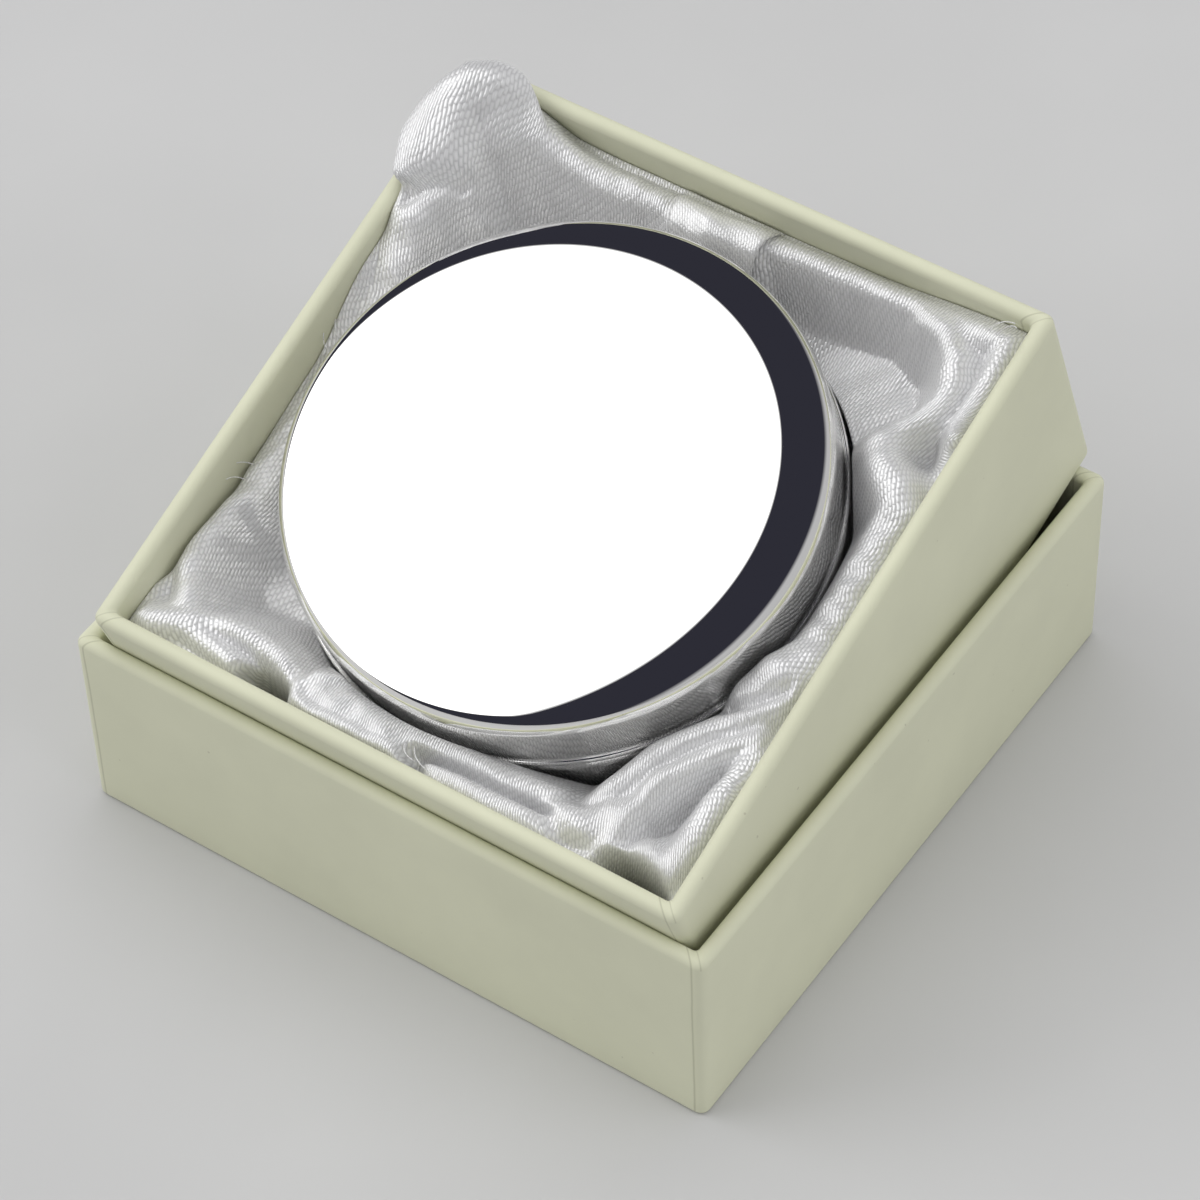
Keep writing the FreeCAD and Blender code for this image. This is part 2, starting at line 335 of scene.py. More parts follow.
def wrap_profile(height, turn_in):
    """Inset from the outer wall, height above the underside and draw-in share of each row.

    A quarter circle rounds the bottom edge, and a half ellipse goes over the rim.
    """
    floor_rows = len(FLOOR_SHARES)
    rim_foot = height - RIM_ROUND
    bend = np.linspace(0, math.pi / 2, EDGE_ROWS)
    over = np.linspace(0, math.pi, RIM_ROWS)
    rise = np.linspace(EDGE_ROUND, rim_foot, WALL_ROWS + 2)[1:-1]
    fall = np.linspace(rim_foot, height - turn_in, TURN_IN_ROWS + 1)[1:]
    inset = np.concatenate([np.full(floor_rows, EDGE_ROUND), EDGE_ROUND * (1 - np.sin(bend)),
                            np.zeros(WALL_ROWS), WALL / 2 * (1 - np.cos(over)),
                            np.full(TURN_IN_ROWS, WALL)])
    level = np.concatenate([np.zeros(floor_rows), EDGE_ROUND * (1 - np.cos(bend)), rise,
                            rim_foot + RIM_ROUND * np.sin(over), fall])
    draw = np.concatenate([FLOOR_SHARES, np.ones(len(level) - floor_rows)])
    return inset[:, None], level[:, None], draw[:, None]


# %% Wraps of case lid and tray
CORNER_ROUND = 1.2 * MM
INNER_CORNER_ROUND = 0.5 * MM
CASE_LID_TURN_IN = 15 * MM
TRAY_TURN_IN = 18 * MM
SEAM_FROM_CORNER = 1.3 * MM
RIM_BAND = 1.2 * RIM_ROUND
FRONT_OR_BACK = 0.7
FAR_AWAY = 1.0


def paper_wrap(name, node, axes, turn_in):
    """Profile carried round a rounded rectangle: core corner plus radius times outward direction.

    Each vertex keeps its distance from the paper's seam and from the mitre over the rim.
    """
    foot, half_width, half_depth, height = foot_of(node, axes)
    inset, level, draw = wrap_profile(height, turn_in)
    radius = np.maximum(CORNER_ROUND - inset, INNER_CORNER_ROUND)
    core_x = path_share[:, 0] * (half_width - inset - radius)
    core_y = path_share[:, 1] * (half_depth - inset - radius)
    x = draw * (core_x + radius * path_outward[:, 0])
    y = draw * (core_y + radius * path_outward[:, 1])
    grid = np.stack([x, y, np.broadcast_to(level, x.shape)], -1)
    piece, used = grid_piece(name, (grid + foot) @ axes, first_pole=True)
    from_seam = half_width - np.abs(x) - inset - SEAM_FROM_CORNER
    seam = np.where(np.abs(path_outward[:, 1]) > FRONT_OR_BACK, from_seam, FAR_AWAY)
    lay_values(piece, used, "seam_gap", seam)
    mitre = (half_width - np.abs(x)) - (half_depth - np.abs(y))
    on_rim = (level > height - RIM_BAND) & (inset + 0 * x < WALL + PAPER)
    lay_values(piece, used, "mitre_gap", np.where(on_rim, mitre, FAR_AWAY))
    thicken(piece, PAPER)
    return piece


case_lid_wrap = paper_wrap("case_lid_paper", "case_lid_wrap", LEVEL, CASE_LID_TURN_IN)
tray_wrap = paper_wrap("tray_paper", "tray_wrap", LEANING, TRAY_TURN_IN)

# %% [markdown]
# ## Paper finish
# The paper is matt, with a faint mottle from the pulp, a slight tooth, some specks of dust, and a
# fine line near each upright corner of the front and back, where the cut edge of the paper lies
# on the paper turned round the corner. A fainter line crosses the rim at each corner. The lines
# could be modelled, but they are thinner than the paper, so they are drawn from the stored
# distances, made a little crooked by noise.

# %% Cream paper
CREAM = (0.700, 0.708, 0.535)
DUST = (0.30, 0.27, 0.19, 1)
LINE = (0.33, 0.33, 0.22, 1)
DUST_SHARE = 0.35
LINE_SHARE = 0.42
LINE_DEPTH = -0.6
CROOK = 0.6 * MM
SEAM_WIDTH = (0.05 * MM, 0.17 * MM)
MITRE_WIDTH = (0.03 * MM, 0.15 * MM)


def crooked_line(tree, mark, crook, width, strength):
    """Line where a stored distance is small: full up to the first width, gone at the second."""
    gap = add(tree, "Attribute", attribute_name=mark).outputs["Fac"]
    away = sums(tree, "ABSOLUTE", sums(tree, "ADD", gap, crook))
    return between(tree, away, *width, strength, 0.0)


def paper_finish():
    """Mottled cream, mixed with the colours of dust and of the lines where these are."""
    tree, shader, finish = finish_of("cream_paper", Roughness=0.55, Specular_IOR_Level=0.35)
    place = add(tree, "TexCoord").outputs["Object"]
    cloud = noise(tree, place, scale=60.0, detail=4.0)
    tooth = noise(tree, place, scale=2600.0, detail=2.0)
    speck = noise(tree, place, scale=800.0, detail=1.0)
    dust = between(tree, speck, 0.80, 0.82, 0.0, 1.0)
    crook = sums(tree, "MULTIPLY", sums(tree, "SUBTRACT", cloud, 0.5), CROOK)
    line = sums(tree, "MAXIMUM", crooked_line(tree, "seam_gap", crook, SEAM_WIDTH, 1.0),
                crooked_line(tree, "mitre_gap", crook, MITRE_WIDTH, 0.8))
    tone = shades(tree, cloud, CREAM, dark=(0.30, 0.955), light=(0.70, 1.03))
    dusty = blend(tree, sums(tree, "MULTIPLY", dust, DUST_SHARE), tone, DUST)
    lined = blend(tree, sums(tree, "MULTIPLY", line, LINE_SHARE), dusty, LINE)
    relief = sums(tree, "MULTIPLY_ADD", line, LINE_DEPTH, tooth)
    bump = bumps(tree, relief, strength=0.12, distance=0.05 * MM)
    plug(tree, shader, Base_Color=lined, Normal=bump)
    return finish


wear(paper_finish(), case_lid_wrap, tray_wrap)
settle(case_lid_wrap, "case_lid", "cream_paper", "case_lid_wrap")
settle(tray_wrap, "tray", "cream_paper", "tray_wrap")
print("papered:", case_lid_wrap.name, tray_wrap.name)

# %% [markdown]
# Under the paper, the CAD solids of the board and of its corner stays show as they are. They only
# need a raw look: long fibres, drawn by noise that is stretched one way.

# %% Greyboard and corner stays
GREY = (0.40, 0.38, 0.34)
KRAFT = (0.52, 0.42, 0.28)
STRETCH = (0.35, 1.0, 1.0)


def board_finish(name, colour, fibre):
    """Raw board or kraft paper: fibres as stretched noise, with darker and lighter flecks."""
    tree, shader, finish = finish_of(name, Roughness=0.85, Specular_IOR_Level=0.2)
    place = add(tree, "TexCoord").outputs["Object"]
    drawn = add(tree, "Mapping", [("Vector", place), ("Scale", STRETCH)]).outputs[0]
    grain = noise(tree, drawn, scale=fibre, detail=6.0)
    tone = shades(tree, grain, colour, dark=(0.32, 0.72), light=(0.68, 1.14))
    bump = bumps(tree, grain, strength=0.3, distance=0.08 * MM)
    plug(tree, shader, Base_Color=tone, Normal=bump)
    return finish


board_nodes = [frame["nodes"][name] for name in ("case_lid_board", "tray_board")]
stay_nodes = [frame["nodes"][name] for name in ("case_lid_stays", "tray_stays")]
wear(board_finish("greyboard", GREY, fibre=900.0), *board_nodes)
wear(board_finish("stay_paper", KRAFT, fibre=1500.0), *stay_nodes)
print("board and stays:", len(board_nodes), "and", len(stay_nodes), "nodes")

# %% [markdown]
# ## The round box
# Base, collar and lid are drawn from thin metal and polished, so they are true surfaces of
# revolution. Any facet would show in a mirror finish. The profiles are therefore sampled closely
# and turned about the box's own leaning axis, with 288 steps. A profile is put together from
# points, straight runs and arcs.

# %% Turned pieces
STEPS_ROUND = 288


def bow(centre, level, radius, start, stop, count=16):
    """Points of a circle's arc in the profile plane: (radius from the axis, height)."""
    angle = np.radians(np.linspace(start, stop, count))
    return np.stack([centre + radius * np.cos(angle), level + radius * np.sin(angle)], 1)


def run(*points):
    """Single points of a profile, as rows."""
    return np.array(points, float)


def spaced(start, stop, count=8):
    """Even points between two points of a profile, so that shading stays even."""
    return np.linspace(start, stop, count + 2)[1:-1]


def turned_piece(name, profile, foot, closed=False):
    """Profile of (radius, height) turned about the axis through foot: radius times (cos, sin)."""
    angle = np.linspace(0, 2 * math.pi, STEPS_ROUND, endpoint=False)
    radius, height = profile[:, :1], profile[:, 1:]
    x, y = radius * np.cos(angle), radius * np.sin(angle)
    grid = np.stack([x, y, np.broadcast_to(height, x.shape)], -1)
    poles = {} if closed else {"first_pole": True, "last_pole": True}
    piece, _ = grid_piece(name, (grid + foot) @ LEANING, round_rows=closed, **poles)
    return piece


# %% [markdown]
# The lid is one wall of even thickness: a flat top, a soft crown, a tighter shoulder, a straight
# side and a fine bead at the lower edge. The inside is the outside's arcs, made smaller by the
# metal.

# %% Lid
cup_foot, cup_radius, _, cup_height = foot_of("base_cup", LEANING)
lid_foot, lid_radius, _, lid_height = foot_of("lid_cap", LEANING)
BEAD = lid_radius - cup_radius
BEAD_HEIGHT = 0.9 * MM
METAL = 0.7 * MM
SHOULDER = 2.5 * MM
CROWN = 12.0 * MM
CROWN_TURN = math.radians(25)
TOP_STEPS, BEAD_STEPS = 20, 13


def shell_top(radius, side_top, inset):
    """Shoulder and crown arcs, outside or inset by the metal, from the side to the flat top."""
    tight, wide = SHOULDER - inset, CROWN - inset
    turn = 90 - math.degrees(CROWN_TURN)
    tight_x = radius - tight
    wide_x = tight_x - (wide - tight) * math.sin(CROWN_TURN)
    wide_z = side_top - (wide - tight) * math.cos(CROWN_TURN)
    return np.concatenate([bow(tight_x, side_top, tight, 0, turn, TOP_STEPS),
                           bow(wide_x, wide_z, wide, turn, 90, TOP_STEPS)[1:]])


def lid_profile():
    """From the middle of the inside down the bore, round the bead, up the side and to the top."""
    bore = cup_radius - METAL
    side_top = lid_height - CROWN + (CROWN - SHOULDER) * math.cos(CROWN_TURN)
    outside = shell_top(cup_radius, side_top, 0)
    inside = shell_top(bore, side_top, METAL)
    ceiling, top = (0, inside[-1, 1]), (0, outside[-1, 1])
    swell = np.radians(np.linspace(-90, 90, BEAD_STEPS)[1:-1])
    bead = np.stack([cup_radius + BEAD * np.cos(swell), BEAD_HEIGHT / 2 * (1 + np.sin(swell))], 1)
    side_foot = (cup_radius, BEAD_HEIGHT)
    return np.concatenate([run(ceiling), spaced(ceiling, inside[-1]), inside[::-1],
                           run((bore, 0), (cup_radius, 0)), bead,
                           run(side_foot), spaced(side_foot, outside[0]), outside,
                           spaced(outside[-1], top), run(top)])


metal_lid = turned_piece("polished_lid", lid_profile(), lid_foot)

# %% [markdown]
# The base is a cup with a rounded edge. A thin collar is pressed into the cup and stands out of
# it, and the lid slips over the collar. The collar's profile closes on itself, so it has no pole.

# %% Base cup and collar
collar_foot, collar_radius, _, collar_height = foot_of("base_collar", LEANING)
CUP_EDGE = 2.5 * MM
COLLAR_PLAY = 0.02 * MM
COLLAR_METAL = 0.5 * MM
COLLAR_LEAD = 0.2 * MM


def cup_profile():
    """From the middle of the underside round the edge, up, over the rim and down to the floor."""
    bore = collar_radius + COLLAR_PLAY
    inner = CUP_EDGE - METAL
    edge = bow(cup_radius - CUP_EDGE, CUP_EDGE, CUP_EDGE, -90, 0)
    inside = bow(bore - inner, CUP_EDGE, inner, 0, -90)
    outer_rim, inner_rim = (cup_radius, cup_height), (bore, cup_height)
    return np.concatenate([run((0, 0)), spaced((0, 0), edge[0]), edge, spaced(edge[-1], outer_rim),
                           run(outer_rim, inner_rim), spaced(inner_rim, inside[0]), inside,
                           spaced(inside[-1], (0, METAL)), run((0, METAL))])


def collar_profile():
    """Thin upright wall with a small lead-in at the upper outer edge."""
    bore = collar_radius - COLLAR_METAL
    lead_foot = (collar_radius, collar_height - COLLAR_LEAD)
    return np.concatenate([run((bore, 0), (collar_radius, 0)),
                           spaced((collar_radius, 0), lead_foot),
                           run(lead_foot, (collar_radius - COLLAR_LEAD, collar_height),
                               (bore, collar_height)),
                           spaced((bore, collar_height), (bore, 0))])


metal_cup = turned_piece("polished_cup", cup_profile(), cup_foot)
metal_collar = turned_piece("polished_collar", collar_profile(), collar_foot, closed=True)

# %% [markdown]
# ## Mirror finish
# Polished silver plate is nearly a perfect mirror, so what it shows is the light round it. Two
# small faults make it believable: the buffed metal is not quite flat, which bends reflections a
# little, and a few fine dust specks lie on it. Scratches could be added, but a new box has none.

# %% Silver plate
SILVER = (0.93, 0.925, 0.91, 1)
POLISH, DULL = 0.025, 0.5


def silver_finish():
    """Mirror metal: rougher where noise peaks, and swaying by a slight, broad relief."""
    tree, shader, finish = finish_of("silver_plate", Base_Color=SILVER, Metallic=1.0)
    place = add(tree, "TexCoord").outputs["Object"]
    speck = noise(tree, place, scale=420.0, detail=1.0)
    sway = noise(tree, place, scale=70.0, detail=1.0)
    plug(tree, shader, Roughness=between(tree, speck, 0.80, 0.83, POLISH, DULL),
         Normal=bumps(tree, sway, strength=0.03, distance=0.1 * MM))
    return finish


wear(silver_finish(), metal_lid, metal_cup, metal_collar)
settle(metal_lid, "trinket_lid", "silver_plate", "lid_cap")
settle(metal_cup, "trinket_base", "silver_plate", "base_cup")
settle(metal_collar, "trinket_base", "silver_plate", "base_collar")
print("polished:", metal_lid.name, metal_cup.name, metal_collar.name)

# %% [markdown]
# ## Felt in the base
# Under the keepsake lies a disc of dark felt. It shows only when the lid is off. It is a low
# turned pad with a soft edge. Real hairs could be grown on it, but they would be too fine to see
# from here, so noise in its colour and relief stands for the fibres.

# %% Felt disc
felt_foot, felt_radius, _, felt_height = foot_of("base_felt", LEANING)
FELT_BLUE = (0.045, 0.05, 0.08)


def felt_profile():
    """Flat underside, half circle round the edge, flat top."""
    half = felt_height / 2
    edge = bow(felt_radius - half, half, half, -90, 90, count=12)
    top = (0, felt_height)
    return np.concatenate([run((0, 0)), spaced((0, 0), edge[0], count=5), edge,
                           spaced(edge[-1], top, count=5), run(top)])


def fibre_finish(name, colour, scale, depth):
    """Felt, wadding or yarn: soft sheen over fibres drawn by noise."""
    tree, shader, finish = finish_of(name, Roughness=0.95, Specular_IOR_Level=0.1,
                                     Sheen_Weight=0.4, Sheen_Roughness=0.5)
    fine = noise(tree, add(tree, "TexCoord").outputs["Object"], scale, detail=8.0)
    tone = shades(tree, fine, colour, dark=(0.3, 0.6), light=(0.7, 1.3))
    plug(tree, shader, Base_Color=tone, Normal=bumps(tree, fine, strength=0.6, distance=depth))
    return finish


felt_disc = turned_piece("felt_disc", felt_profile(), felt_foot)
wear(fibre_finish("felt", FELT_BLUE, scale=2200.0, depth=0.15 * MM), felt_disc)
settle(felt_disc, "trinket_base", "felt", "base_felt")

# %% [markdown]
# ## Wadding pad
# A soft pad lies on the tray's floor, under the satin. It is hidden, but it is still a pad:
# crowned a little in the middle, drawn in along its sides between the corners, flat underneath. A
# squarish ring drawn towards its middle gives both faces: the lower rows lie on the floor, the
# upper rows rise over a rounded edge.

# %% Pad surface
pad_foot, pad_half_width, pad_half_depth, pad_height = foot_of("wadding_pad", LEANING)
PAD_STEPS = 160
PAD_POWER = 2 / 9
PAD_DRAW_IN = 0.006
PAD_FLAT, PAD_EDGE, PAD_BACK = 0.985, 0.015, 0.97
PAD_SIDE, PAD_CROWN = 0.88, 0.12
FLAT_ROWS, BEND_ROWS, BACK_ROWS = 9, 11, 20
WADDING_WHITE = (0.74, 0.74, 0.71)


def squarish(wave):
    """Cosine or sine raised to a small power, with its sign: the side of a superellipse."""
    return np.sign(wave) * np.abs(wave) ** PAD_POWER


def pad_grid():
    """Superellipse ring scaled row by row: flat floor out, rounded edge up, low crown in."""
    angle = np.linspace(0, 2 * math.pi, PAD_STEPS, endpoint=False)
    draw = 1 - PAD_DRAW_IN * (1 + np.cos(4 * angle)) / 2
    ring = np.stack([pad_half_width * squarish(np.cos(angle)) * draw,
                     pad_half_depth * squarish(np.sin(angle)) * draw], -1)
    bend = np.linspace(-math.pi / 2, math.pi / 2, BEND_ROWS)
    back = np.linspace(PAD_BACK, 0, BACK_ROWS)
    scale = np.concatenate([np.linspace(0, PAD_FLAT, FLAT_ROWS),
                            PAD_FLAT + PAD_EDGE * np.cos(bend), back])
    level = np.concatenate([np.zeros(FLAT_ROWS), PAD_SIDE / 2 * (1 + np.sin(bend)),
                            PAD_SIDE + PAD_CROWN * (1 - back ** 2)]) * pad_height
    flat = scale[:, None, None] * ring
    return np.concatenate([flat, np.broadcast_to(level[:, None, None], (*flat.shape[:2], 1))], -1)


pad, _ = grid_piece("wadding", (pad_grid() + pad_foot) @ LEANING, first_pole=True, last_pole=True)
wear(fibre_finish("wadding", WADDING_WHITE, scale=900.0, depth=0.4 * MM), pad)
settle(pad, "tray", "wadding", "wadding_pad")

# %% [markdown]
# ## Satin lining
# One square of satin is pushed down round the box and tucked against the walls. It bunches into
# rolls along the walls, a hood in the back left corner and fanned folds in the others. Cloth
# simulation would crumple it in its own way; here the folds have known places, so the sheet is
# worked out as a height over the tray's floor. Tables first give the plain sheet: its height in
# sixteen directions at the wall, in the valley and beside the box.

# %% Plain sheet in sixteen directions
BOX_AT = (cup_foot - tray_foot)[:2] / MM
WELL = 31.1
WALL_GAP = 0.12
INNER_HALF = (np.array([tray_half_width, tray_half_depth]) - WALL) / MM - WALL_GAP
TRAY_HEIGHT = tray_height / MM
# shares of the tray's height, every 22.5 degrees from the right, by way of the back
WALL_SHARES = (0.88, 0.88, 0.94, 0.86, 0.85, 0.86, 0.92, 0.94,
               0.82, 0.79, 0.90, 0.90, 0.88, 0.86, 0.90, 0.88)
VALLEY_SHARES = (0.62, 0.68, 0.73, 0.66, 0.70, 0.66, 0.66, 0.72,
                 0.66, 0.58, 0.62, 0.61, 0.60, 0.59, 0.60, 0.61)
INNER_SHARES = (0.60, 0.68, 0.73, 0.62, 0.64, 0.62, 0.58, 0.62,
                0.58, 0.54, 0.58, 0.58, 0.58, 0.56, 0.56, 0.58)
# where the valley lies, as a share of the way from the wall to the box
ROLL_SHARES = (0.55, 0.60, 0.45, 0.50, 0.60, 0.50, 0.62, 0.55,
               0.70, 0.64, 0.50, 0.60, 0.60, 0.55, 0.55, 0.60)
BULGE = 0.8


def in_direction(shares, angle):
    """Table value at an angle, eased between its sixteen directions by a half cosine."""
    table = np.array(shares)
    place = np.mod(angle, 2 * math.pi) / (2 * math.pi) * len(table)
    index = np.floor(place).astype(int)
    ease = (1 - np.cos(math.pi * (place - index))) / 2
    return table[index % len(table)] * (1 - ease) + table[(index + 1) % len(table)] * ease


def wall_distance(angle):
    """Distance in mm from the round box's axis to the tray's inner wall along each direction."""
    reach_x = INNER_HALF[0] - np.sign(np.cos(angle)) * BOX_AT[0]
    reach_y = INNER_HALF[1] - np.sign(np.sin(angle)) * BOX_AT[1]
    return 1 / np.maximum(np.abs(np.cos(angle)) / reach_x, np.abs(np.sin(angle)) / reach_y)


def plain_height(angle, share, width):
    """Height in mm of the plain sheet at a share of the way from the wall to the box.

    Up to the valley it is a line with a parabola on it that rises by BULGE of the line's length
    times s (1 - s); from there a straight line runs to the box.
    """
    wall = in_direction(WALL_SHARES, angle) * TRAY_HEIGHT
    valley = in_direction(VALLEY_SHARES, angle) * TRAY_HEIGHT
    inner = in_direction(INNER_SHARES, angle) * TRAY_HEIGHT
    roll = in_direction(ROLL_SHARES, angle)
    near_wall = np.clip(share / roll, 0, 1)
    past = np.clip((share - roll) / (1 - roll), 0, 1)
    bulge = BULGE * np.hypot(roll * width, wall - valley) * near_wall * (1 - near_wall)
    return np.where(share < roll, wall + (valley - wall) * near_wall + bulge,
                    valley + (inner - valley) * past)


print("wall from the box's axis in mm:", np.round(wall_distance(np.arange(4) * math.pi / 2), 1))

# %% [markdown]
# Each roll is a round bar along a few points, with sides that run off in a straight slope. The
# sheet takes the smooth maximum of the plain sheet and all the bars, as cloth laid over bars
# would. A list of crests could be replaced by a formula only if the rolls were alike; on real
# cloth each has its own place.

# %% Rolls
# crest points (x, y, height) in mm from the middle of the tray's underside, half width of the bar
ROLLS = (
    # hood: its left side and crown, the fold under the crown, the lip of its hollow
    (((-33.4, 11.0, 27.6), (-33.4, 15.5, 29.6), (-33.4, 19.5, 32.0), (-33.3, 23.5, 34.2),
      (-32.9, 27.0, 35.9), (-32.3, 29.8, 37.1), (-31.5, 31.4, 37.7), (-30.9, 32.4, 37.3)), 3.1),
    (((-32.6, 27.8, 34.8), (-31.2, 26.2, 33.4), (-30.6, 24.6, 31.4)), 2.4),
    (((-32.4, 21.0, 28.8), (-30.4, 22.4, 29.0), (-28.2, 23.2, 28.2)), 1.6),
    # from the hood down along the back wall
    (((-30.8, 32.8, 37.0), (-28.8, 33.6, 35.0), (-26.6, 33.8, 33.0), (-24.2, 33.4, 31.2),
      (-21.5, 33.2, 29.8), (-17.4, 33.2, 28.8), (-12.4, 33.7, 28.0), (-8.0, 34.0, 27.6)), 1.8),
    # left wall
    (((-33.9, 12.0, 27.4), (-34.0, 4.0, 25.8), (-34.0, -8.0, 25.4), (-33.4, -18.0, 26.4)), 2.2),
    # back wall, under the tab and on to the right
    (((-7.4, 33.4, 28.2), (-3.0, 33.0, 29.0), (1.8, 33.8, 28.2)), 2.2),
    (((2.6, 34.6, 27.5), (13.0, 35.0, 27.5), (26.3, 34.8, 28.6), (33.6, 34.6, 30.0)), 1.5),
    # back right corner: round its hollow, and along the wall
    (((24.0, 34.0, 28.8), (27.5, 32.9, 29.6), (29.6, 30.8, 30.2), (30.6, 28.2, 30.4),
      (31.2, 25.6, 30.2), (30.6, 23.0, 29.8), (28.8, 20.6, 29.6), (28.0, 18.6, 30.0)), 1.7),
    (((34.3, 34.1, 30.2), (34.6, 28.2, 30.2), (34.4, 22.4, 30.2)), 1.2),
    # right wall: a puff, a long roll and a fat puff
    (((28.0, 18.0, 30.0), (29.9, 16.2, 31.2), (32.0, 14.4, 31.4), (33.8, 12.6, 30.6)), 2.5),
    (((33.4, 11.0, 30.0), (33.4, 7.6, 29.6), (33.5, 2.8, 29.5), (33.6, -2.1, 29.6),
      (33.4, -4.6, 29.8)), 2.3),
    (((34.0, -6.6, 30.6), (32.4, -9.6, 31.2), (30.9, -12.2, 29.8)), 3.2),
    # front right corner: three fanned folds and the arch over a pocket
    (((33.7, -12.6, 29.9), (29.0, -17.4, 29.4), (24.9, -22.3, 28.9), (23.3, -26.3, 28.6),
      (21.4, -29.9, 27.6)), 1.3),
    (((33.6, -16.6, 29.6), (29.5, -21.3, 29.4), (26.8, -25.2, 29.4), (25.8, -29.3, 29.4),
      (25.8, -32.9, 29.2), (25.6, -35.6, 28.8)), 1.1),
    (((34.6, -18.6, 29.6), (33.9, -23.7, 30.0), (33.4, -28.6, 30.0), (33.2, -33.6, 29.6)), 1.6),
    (((27.6, -33.8, 28.4), (29.6, -32.5, 29.6), (32.3, -33.2, 29.2)), 1.3),
    # front left corner: round it, out of it, and both sides of a pocket
    (((-34.0, -19.0, 26.6), (-34.4, -25.1, 27.8), (-33.4, -27.8, 28.4), (-31.4, -30.5, 29.0),
      (-29.5, -32.6, 29.3)), 1.6),
    (((-33.2, -35.0, 30.0), (-28.6, -33.2, 29.6)), 1.8),
    (((-28.4, -34.0, 29.5), (-24.6, -34.6, 29.4), (-21.4, -35.2, 29.3), (-18.8, -36.2, 28.9)), 1.2),
    (((-28.3, -33.0, 29.5), (-25.3, -31.9, 29.4), (-22.1, -31.6, 29.3), (-17.9, -32.1, 29.0),
      (-15.5, -33.2, 28.6)), 1.3),
    # front wall: a puff, the thin rolled edge of its loop, two rolls and the end at the corner
    (((-11.6, -34.3, 30.1), (-7.8, -34.2, 30.5), (-3.3, -34.4, 30.4), (1.0, -35.0, 29.7)), 2.4),
    (((-9.9, -31.7, 29.9), (-12.2, -32.5, 30.3), (-13.4, -34.2, 30.4), (-12.8, -35.6, 30.5),
      (-10.8, -36.1, 30.7), (-5.3, -36.0, 30.7), (-0.3, -35.8, 30.3), (1.8, -36.1, 29.6)), 0.7),
    (((-11.0, -32.6, 29.2), (-4.0, -32.8, 29.2), (2.9, -33.0, 29.1), (7.6, -32.7, 28.7),
      (12.7, -32.4, 28.3), (16.9, -31.9, 27.8)), 1.6),
    (((4.4, -35.8, 29.7), (8.6, -35.7, 30.3), (12.1, -35.8, 30.3), (16.7, -35.6, 29.7),
      (19.0, -35.8, 28.8)), 1.5),
    (((18.1, -33.8, 28.6), (22.0, -33.0, 29.0), (24.1, -30.6, 28.6)), 2.0),
)
SLOPE_FROM = 0.9
SOFT_MEETING = 0.45
FAR_BELOW = -1e3


def from_segment(x, y, start, stop):
    """Distance of each point from a straight line between two points, and the share along it."""
    along = np.array(stop[:2]) - np.array(start[:2])
    share = ((x - start[0]) * along[0] + (y - start[1]) * along[1]) / (along @ along)
    share = np.clip(share, 0, 1)
    return np.hypot(x - start[0] - share * along[0], y - start[1] - share * along[1]), share


def over_bar(x, y, crest, width):
    """Height of a bar with a round top along a line; its sides are straight past SLOPE_FROM."""
    best = np.full(x.shape, FAR_BELOW)
    slope = SLOPE_FROM / math.sqrt(1 - SLOPE_FROM ** 2)
    for start, stop in zip(crest[:-1], crest[1:]):
        gap, share = from_segment(x, y, start, stop)
        gap = gap / width
        bend = np.minimum(gap, SLOPE_FROM)
        drop = 1 - np.sqrt(1 - bend ** 2) + (gap - bend) * slope
        best = np.maximum(best, start[2] + share * (stop[2] - start[2]) - width * drop)
    return best


def smooth_max(first, second):
    """Larger of two heights, rounded where they meet: (a + b + sqrt((a - b)^2 + soft^2)) / 2."""
    return (first + second + np.sqrt((first - second) ** 2 + SOFT_MEETING ** 2)) / 2


print("rolls:", len(ROLLS), "highest crest in mm:", max(p[2] for crest, _ in ROLLS for p in crest))

# %% [markdown]
# Where the cloth is pulled in, a groove presses the sheet down by a bell curve of the distance
# from a line. A power of 2 gives a soft groove, a power of 4 the steep side of a pocket. Waves
# round the box add fine creases, which fade out at the wall and at the box.

# %% Grooves, pockets and creases
# line of points (x, y), half width in mm, depth and steepness of each groove or pocket
GROOVES = (
    (((28.0, -36.4), (29.4, -36.6), (31.2, -36.9)), 2.0, 18.0, 4),
    (((-18.9, -36.2), (-17.6, -36.3), (-16.9, -36.3)), 1.7, 16.0, 4),
    (((2.0, -34.5), (8.1, -34.2), (12.5, -34.1), (17.6, -33.6)), 0.5, 2.4, 2),
    (((-34.6, 20.2), (-32.4, 22.0), (-29.6, 24.4)), 0.7, 1.8, 2),
    (((-28.6, 28.7), (-27.4, 27.0), (-25.2, 24.2)), 1.5, 3.2, 2),
    (((-26.8, 29.4), (-25.0, 27.0)), 2.0, 2.0, 2),
    (((26.0, 28.6), (27.6, 27.0)), 2.6, 1.2, 2),
    (((32.0, 20.6), (31.6, 18.8)), 1.3, 2.2, 2),
    (((28.6, -15.2), (31.2, -13.6), (34.0, -10.8)), 0.55, 1.6, 2),
    (((27.2, -33.0), (28.2, -29.6), (30.0, -25.8), (31.6, -21.4)), 0.55, 1.5, 2),
    (((-36.3, -16.0), (-36.3, -29.0)), 0.7, 2.2, 2),
    (((1.8, -35.4), (3.0, -36.6)), 0.8, 4.0, 2),
)
FINE_CREASE, FINE_WAVES = 0.22, 61
BROAD_CREASE, BROAD_WAVES = 0.15, 37
UNDER_ROLLS = 0.8


def in_groove(x, y, line, width, depth, power):
    """Depth of a groove along a line: a bell curve of the distance, steeper with more power."""
    gap = np.min([from_segment(x, y, start, stop)[0] for start, stop in zip(line, line[1:])], 0)
    return depth * np.exp(-(gap / width) ** power)


